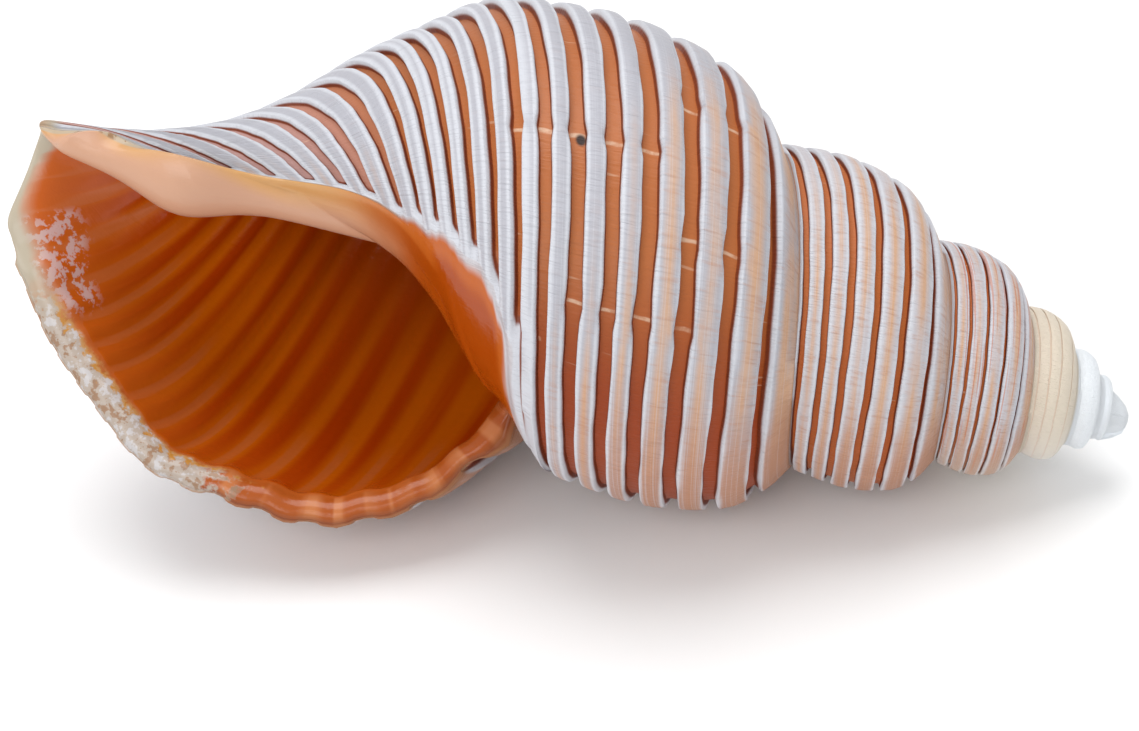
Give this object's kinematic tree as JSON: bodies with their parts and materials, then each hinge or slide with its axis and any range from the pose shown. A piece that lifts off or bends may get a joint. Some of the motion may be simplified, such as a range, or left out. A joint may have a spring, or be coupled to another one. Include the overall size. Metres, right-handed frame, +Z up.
{
  "type": "ribbed spiral sea shell (whelk kind)",
  "caption": "Spiral sea shell with flat spiral ribs, a pointed spire, a wide open mouth with a rolled lip and a short open canal.",
  "frame": {"origin": "middle of the footprint of the bounding box, on the surface the shell lies on", "axes": "+X along the spire towards its tip as it lies, +Z up, the mouth opens towards -Y and up"},
  "size_m": [0.0944, 0.0414, 0.0418],
  "materials": {
    "shell_lime": "natural shell lime, pale lavender-white ribs over terracotta grooves, glazed orange mouth"
  },
  "bodies": {
    "root": {"shell": "shell_lime"}
  },
  "joints": []
}
